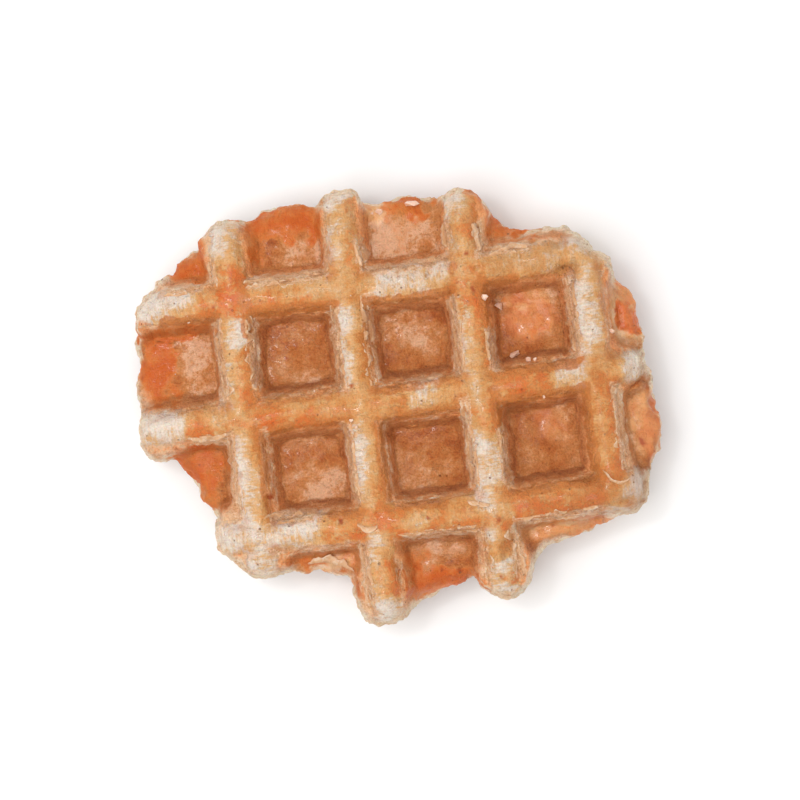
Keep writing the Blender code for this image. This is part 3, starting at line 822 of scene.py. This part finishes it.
def crustMaterial(grain, skinFlakes):
    material, tree, shader = newMaterial("bakedCrust")
    names = ("cream", "caramel", "pooled", "pale", "dullShade", "corner", "torn", "stain", "burnt", "pastEdge",
             "edgeStain", "floor", "side", "columnWise", "raised", "rise", "syrup", "grooveShade")
    mask = {name: maskOf(tree, name) for name in names}
    noises = crustNoises(tree, mask, grain, skinFlakes)
    colour, sticky = crestColour(mask, noises)

    # where the crest ends: a stained line, then the wall
    edge = uneven(noises, mask["pastEdge"], patch=2.6, speck=1.0, clamp=False)
    stain = times(between(edge, -1.3, -0.2), between(mask["edgeStain"], 0.45, 0.8))
    stain = maths("MAXIMUM", times(stain, 0.5), times(mask["corner"], 0.7))
    colour = mixColours(stain, colour, crustLook["stain"])
    colour = mixColours(between(edge, -0.35, 0.8), colour, wallColour(mask, noises))
    colour = mixColours(mask["floor"], colour, floorColour(mask, noises))
    colour = shoulderColour(colour, mask, noises)
    sideTone = uneven(noises, 0.6, speck=1.2, leaves=1.2, blotch=1.2, crisp=-0.2)
    colour = mixColours(mask["side"], colour, colourRamp(sideTone, crustLook["side"]))

    # syrup and melted sugar over the web
    glazed = uneven(noises, times(mask["pale"], 0.45), 0.35, drift=1.2, blotch=1.0)
    colour = mixColours(between(mask["syrup"], 0.1, 0.9), colour, colourRamp(glazed, crustLook["glaze"]))
    syrupy = uneven(noises, times(mask["pooled"], 0.9), patch=0.9, blotch=1.2, drift=0.9, speck=0.4)
    syrupy = times(syrupy, between(mask["pooled"], 0.02, 0.5))
    colour = mixColours(between(syrupy, 0.0, 0.75), colour, colourRamp(syrupy, crustLook["caramel"]))

    # painted shade in the creases, at the foot of the walls, on the walls facing back, in the pores and on
    # the dull patches, and real burnt spots
    dryness = maths("SUBTRACT", 1.0, maths("MAXIMUM", mask["syrup"], syrupy), clamp=True)
    # painted shade along the fine creases, where the crust is dry
    creased = times(times(noises["crease"], maths("ADD", 0.27, times(mask["cream"], 0.08), True)), dryness)
    # painted shade inside the pores, stronger on the cream
    poreShading = times(noises["pores"], maths("ADD", 0.28, times(mask["cream"], 0.62), True))
    marks = {"creaseShade": creased, "grooveShade": times(mask["grooveShade"], 0.36), "poreShade": poreShading,
             "dullShadeTone": times(mask["dullShade"], 0.55), "burnt": times(mask["burnt"], 0.95)}
    for mark, share in marks.items():
        colour = mixColours(share, colour, crustLook[mark])
    fleck = between(noises["speck"], 0.3, 0.7, 0.87, 1.13, "LINEAR")
    colour = mixColours(dryness, colour, fleck, "MULTIPLY")

    gloss = maths("MAXIMUM", times(sticky, 0.5), mask["syrup"])
    gloss = maths("MAXIMUM", gloss, times(syrupy, 0.25))
    matt = times(maths("ADD", mask["cream"], mask["side"], True), 0.16)
    rough = summed(crustLook["roughness"], matt, times(gloss, -0.22), times(mask["raised"], -0.12))
    coat = times(maths("ADD", gloss, times(mask["raised"], 0.35)), crustLook["coat"], clamp=True)
    give(shader, Roughness=rough, Specular_IOR_Level=crustLook["specular"],
         Coat_Weight=coat, Coat_Roughness=crustLook["coatRoughness"])

    onWall = between(edge, -0.1, 0.5)
    unglazed = maths("SUBTRACT", 1.0, times(mask["syrup"], 0.8))
    height = summed(times(times(noises["crumb"], 1.6), unglazed), times(noises["patch"], 1.3),
                    times(noises["strand"], times(mask["cream"], 1.1)), times(noises["along"], onWall),
                    times(creased, -1.5), times(noises["crisp"], 0.3), times(noises["leaves"], onWall),
                    clamp=False)
    setSurface(shader, crustLook, colour, height)
    return material


# Flaps of torn skin, loose on the left of their path, or on its right where the width is below nought:
# places to the right and to the back in pitches, and the width in millimetres.
flaps = [
    ([(0.74, -2.42), (0.62, -2.36), (0.5, -2.31), (0.36, -2.31)], -1.8),
    ([(2.93, -1.82), (2.98, -1.92), (3.06, -1.96), (3.14, -1.93)], 0.7),
    ([(1.78, -1.92), (1.86, -1.94), (1.96, -1.98)], -1.3),
    ([(0.84, -2), (0.92, -2.04), (1, -2.04)], -1.2),
    ([(2.3, 0.1), (2.42, 0.12), (2.54, 0.1)], 0.9),
    ([(2.1, 0.36), (2.11, 0.25), (2.13, 0.13)], 1),
    ([(1.1, 0.32), (1.11, 0.22), (1.14, 0.12)], 0.6),
    ([(-0.46, -1.11), (-0.32, -1.13), (-0.16, -1.11)], -1),
]
# torn skin along the shoulders, and the flaps
tornSkin = {
    "step": 0.3 * mm,        # between points along a rib
    "pointsAcross": 4,
    "layers": ((-0.5, 1.1), (0.7, 0.8)),     # where each begins past the crest's edge, and its width, in mm
    "wave": 2.2,             # millimetres from one tear to the next
    "lift": 0.25 * mm,       # how far the free edge stands off the dough
    "sunk": 0.07 * mm,       # and how deep the other edge lies in it
    "thickness": 0.11 * mm,
    "least": 0.12,           # a narrower strip, in mm, has worn away
    "tornEnough": 0.6,       # of a shoulder, for loose strips to stand there
    "colours": [(0.0, (0.58, 0.25, 0.10)), (0.4, (0.69, 0.37, 0.19)), (0.8, (0.76, 0.50, 0.33)),
                (1.0, (0.79, 0.60, 0.45))],
    "roughness": 0.5,
    "soaks": 0.2, "soakColours": (1.0, 0.5, 0.25), "soakDepth": 1.0 * mm,
    "relief": 0.6, "reliefDepth": 0.3 * mm,
}


def surfaceUnder(finder, x, y, up):
    # the crust's surface straight below (or above) a place, and its normal
    start = Vector((x, y, highCorner.z * 2 if up > 0 else -highCorner.z))
    place, normal, number, distance = finder.ray_cast(start, Vector((0.0, 0.0, -up)))
    return place, normal


def onGrid(right, back):
    # a place counted in pitches, as x and y
    return Vector((grid["crossingX"], grid["crossingY"])) + Vector((right, back)) * grid["pitch"]


def ribPlace(rib, along):
    # a point on a rib's middle line, with the direction to its left or back
    middle = float(ribLine(rib, along))
    if rib in columns:
        return onGrid(middle, -along), Vector((-1.0, 0.0))
    return onGrid(along, -middle), Vector((0.0, 1.0))


def addSheet(work, finder, free, spine, widths, lifts, up, pale=0.0):
    # a thin sheet beside a spine of points and outward directions, its far edge raised
    before = None
    for (middle, outward), width, lift in zip(spine, widths, lifts):
        if abs(width) < tornSkin["least"]:
            before = None
            continue
        line = []
        for point in range(tornSkin["pointsAcross"]):
            reach = point / (tornSkin["pointsAcross"] - 1)
            spot = middle + outward * reach * width * mm
            place, normal = surfaceUnder(finder, spot.x, spot.y, up)
            if place is None:
                break
            vert = work.verts.new(place + normal * (lift * reach - tornSkin["sunk"] * (1.0 - reach)))
            vert[free] = pale + (1.0 - pale) * reach
            line.append(vert)
        if before and len(line) == len(before):
            for point in range(len(line) - 1):
                work.faces.new((before[point], line[point], line[point + 1], before[point + 1]))
        before = line


def tearCourse(walk, seed):
    # points for the noise along one tear, apart from every other tear
    return np.stack([walk / tornSkin["wave"], np.full(len(walk), seed * 3.7), np.full(len(walk), 0.5)], 1)


def addTornStrip(work, finder, free, rib, shoulder, layer, up, seed):
    low, high, side = shoulder[:3]
    start, width = layer
    count = int((high - low) * grid["pitch"] / tornSkin["step"])
    course = tearCourse(np.arange(count) * tornSkin["step"] / mm, seed)
    ends = np.minimum(np.arange(count), np.arange(count)[::-1]) / 4
    widths = width * (0.35 + 1.3 * layeredNoise(course, 43, 3)) * np.clip(ends, 0.0, 1.0)
    starts = skin["crestReach"] + (start + 0.35 * waveNoise(course * 0.6, 47)) * mm
    lifts = tornSkin["lift"] * np.clip(0.3 + waveNoise(course * 0.8, 53), 0.0, 1.2)
    spine = []
    for step in range(count):
        middle, outward = ribPlace(rib, low + (high - low) * step / count)
        spine.append((middle + outward * side * starts[step], outward * side))
    addSheet(work, finder, free, spine, widths, lifts, up)


def addFlap(work, finder, free, path, width, seed):
    ends = np.array(path)
    lengths = np.r_[0.0, np.cumsum(np.hypot(*np.diff(ends, axis=0).T))] * grid["pitch"]
    count = int(lengths[-1] / tornSkin["step"]) + 3
    walk = np.linspace(0.0, lengths[-1], count)
    spots = np.stack([np.interp(walk, lengths, ends[:, way]) for way in (0, 1)], 1)
    course = tearCourse(walk / mm * 1.6, seed)
    swell = np.sqrt(np.sin(np.linspace(0.1, math.pi - 0.1, count)))
    widths = width * swell * np.clip(0.85 + 0.45 * layeredNoise(course, 43, 3), 0.2, 1.3)
    spine = []
    for step in range(count):
        way = Vector(spots[min(step + 1, count - 1)] - spots[max(step - 1, 0)]).normalized()
        spine.append((onGrid(*spots[step]), Vector((-way.y, way.x))))
    addSheet(work, finder, free, spine, widths, np.full(count, tornSkin["lift"] * 1.4), 1, 0.45)


def makeFlakes(finder, material):
    work = bmesh.new()
    free = work.verts.layers.float.new("free")
    seed = 0
    for up in (1, -1):
        for rib in columns + rows:
            for shoulder in rib["shoulders"]:
                for layer in tornSkin["layers"]:
                    seed += 1
                    if shoulder[3] >= tornSkin["tornEnough"]:
                        addTornStrip(work, finder, free, rib, shoulder, layer, up, seed)
    for path, width in flaps:
        seed += 1
        addFlap(work, finder, free, path, width, seed)
    bmesh.ops.delete(work, geom=[vert for vert in work.verts if not vert.link_faces], context="VERTS")
    bmesh.ops.recalc_face_normals(work, faces=work.faces)
    piece = linked("tornFlakes", meshFrom(work, "tornFlakes"))
    thick = piece.modifiers.new("thick", "SOLIDIFY")
    thick.thickness = tornSkin["thickness"]
    thick.offset = 0.0
    applyModifiers(piece)
    piece.data.shade_smooth()
    piece.data.materials.append(material)
    print("flakes:", len(piece.data.polygons), "faces")
    return piece


def flakeMaterial(grain, skinFlakes):
    material, tree, shader = newMaterial("tornDough")
    coords = objectCoords(tree)
    crumb = placeGroup(tree, grain, Vector=coords, Grain_per_mm=2.0, Pores_per_mm=0.9, Openness=0.3)
    flaky = placeGroup(tree, skinFlakes, Vector=coords)
    tone = summed(maths("SUBTRACT", crumb["Speckle"], 0.5), times(flaky["Flakes"], 0.3),
                  times(maskOf(tree, "free"), 0.6))
    give(shader, Roughness=tornSkin["roughness"])
    setSurface(shader, tornSkin, colourRamp(tone, tornSkin["colours"]), crumb["Height"])
    return material


# pearls of sugar that haven't melted: place to the right and to the back, and size in millimetres
pearls = [
    (1.634, 0.60, 3.0), (1.34, 0.582, 1.5), (1.28, 0.575, 0.9), (-0.356, -0.142, 0.8), (2.328, -0.775, 2.8),
    (2.433, -0.837, 1.6), (2.49, -0.835, 1.0), (2.241, -0.345, 2.1), (2.13, -0.26, 1.7), (0.90, -1.14, 0.9),
    (0.93, -1.20, 1.1), (0.88, -1.22, 0.7), (1.86, -1.95, 0.6), (3.14, -0.68, 1.3), (0.62, -0.86, 0.6),
    (-0.44, 0.10, 0.6), (2.521, -1.145, 0.9),
]
sugar = {
    "tiny": 22,                # more of them, scattered on each face
    "tinySize": (0.2, 0.4),
    "corners": 12,
    "proud": 0.3,              # how far a pearl's middle stands off the dough, of its size
    "colours": [(0.3, (0.72, 0.45, 0.32)), (0.7, (0.81, 0.59, 0.47))],
    "roughness": 0.22,
    "soaks": 0.5, "soakColours": (1.0, 0.7, 0.5), "soakDepth": 0.8 * mm,
    "relief": 0.4, "reliefDepth": 0.2 * mm,
}


def addPearl(work, finder, chance, right, back, size, up):
    place, normal = surfaceUnder(finder, *onGrid(right, back), up)
    if place is None:
        return
    corners = chance.normal(size=(sugar["corners"], 3))
    corners /= np.linalg.norm(corners, axis=1, keepdims=True)
    corners *= chance.uniform(0.40, 0.55, (len(corners), 1)) * chance.uniform(0.75, 1.15, 3)
    middle = place + (normal + Vector((0.0, 0.0, up))).normalized() * size * mm * sugar["proud"]
    made = [work.verts.new(middle + Vector(corner) * size * mm) for corner in corners]
    hull = bmesh.ops.convex_hull(work, input=made)
    bmesh.ops.delete(work, geom=[vert for vert in hull["geom_interior"] if vert in made], context="VERTS")


def makePearls(finder, material):
    work = bmesh.new()
    chance = np.random.RandomState(29)
    for right, back, size in pearls:
        addPearl(work, finder, chance, right, back, size, 1)
    for up in (1, -1):
        for number in range(sugar["tiny"]):
            right, back = chance.uniform(-0.7, 3.2), chance.uniform(-2.4, 0.5)
            addPearl(work, finder, chance, right, back, chance.uniform(*sugar["tinySize"]), up)
    piece = linked("sugarPearls", meshFrom(work, "sugarPearls"))
    piece.data.materials.append(material)
    print("pearls:", len(piece.data.polygons), "faces")
    return piece


def sugarMaterial(grain):
    material, tree, shader = newMaterial("sugar")
    coords = objectCoords(tree)
    crumb = placeGroup(tree, grain, Vector=coords, Grain_per_mm=3.0, Pores_per_mm=1.0, Openness=0.0)
    give(shader, Roughness=sugar["roughness"])
    setSurface(shader, sugar, colourRamp(crumb["Speckle"], sugar["colours"]), crumb["Height"])
    return material


def fitted(piece):
    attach(piece, "root")


def makeFloor():
    bpy.ops.mesh.primitive_plane_add(size=6.0, location=(0, 0, lowCorner.z - 0.02 * mm))
    floor = bpy.context.object
    floor.name = "studioFloor"
    material, tree, shader = newMaterial("paleFloor")
    give(shader, Base_Color=(0.93, 0.93, 0.93), Roughness=0.9)
    floor.data.materials.append(material)


studio = {
    "cameraHeight": 550 * mm,
    "cameraRight": 21 * mm,     # the lens stands a little to the right of the middle
    "lookAt": (1.1 * mm, 0.6 * mm),
    "turn": -7.36,              # degrees, so that the rows climb to the right
    "pitchInView": 0.1496625,   # how much of the view's width one pitch takes
    "sky": 0.79,
    "key": 0.62, "keyPlace": (-0.105, -0.012, 0.37), "keySize": 0.26,
    "fill": 0.8, "fillPlace": (0.2, 0.1, 0.85), "fillSize": 1.0,
    "glint": 0.18, "glintPlace": (-0.10, 0.07, 0.45), "glintSize": 0.05,
}


def makeStudio():
    world = bpy.data.worlds.new("softSky")
    bpy.context.scene.world = world
    world.use_nodes = True
    give(world.node_tree.nodes["Background"], Color=(1.0, 1.0, 1.0), Strength=studio["sky"])
    for name in ("key", "fill", "glint"):
        lamp = bpy.data.lights.new(name, "AREA")
        lamp.energy = studio[name]
        lamp.size = studio[name + "Size"]
        holder = linked(name, lamp)
        holder.location = studio[name + "Place"]
        holder.rotation_euler = (-holder.location).to_track_quat("-Z", "Y").to_euler()
        holder.visible_camera = False
    bpy.context.scene.view_settings.view_transform = "Standard"


def makeCamera():
    lens = bpy.data.cameras.new("camera")
    camera = linked("camera", lens)
    lens.lens = lens.sensor_width * studio["cameraHeight"] * studio["pitchInView"] / grid["pitch"]
    aim = Vector((*studio["lookAt"], highCorner.z))
    camera.location = aim + Vector((studio["cameraRight"], 0.0, studio["cameraHeight"]))
    outward = (camera.location - aim).normalized()
    turn = math.radians(studio["turn"])
    rightward = Vector((-math.sin(turn), math.cos(turn), 0.0)).cross(outward).normalized()
    upward = outward.cross(rightward)
    camera.rotation_euler = Matrix((rightward, upward, outward)).transposed().to_euler()
    bpy.context.scene.camera = camera


makeCamera()
makeStudio()
makeFloor()
print("studio ready")
grain = crumbGrain()
skinFlakes = flakySkin()
crust = makeCrust()
crust.data.materials.append(crustMaterial(grain, skinFlakes))
fitted(crust)
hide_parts("waffle")
print("crust in place")
finder = BVHTree.FromObject(crust, bpy.context.evaluated_depsgraph_get())
fitted(makeFlakes(finder, flakeMaterial(grain, skinFlakes)))
fitted(makePearls(finder, sugarMaterial(grain)))
print("flakes and sugar in place")
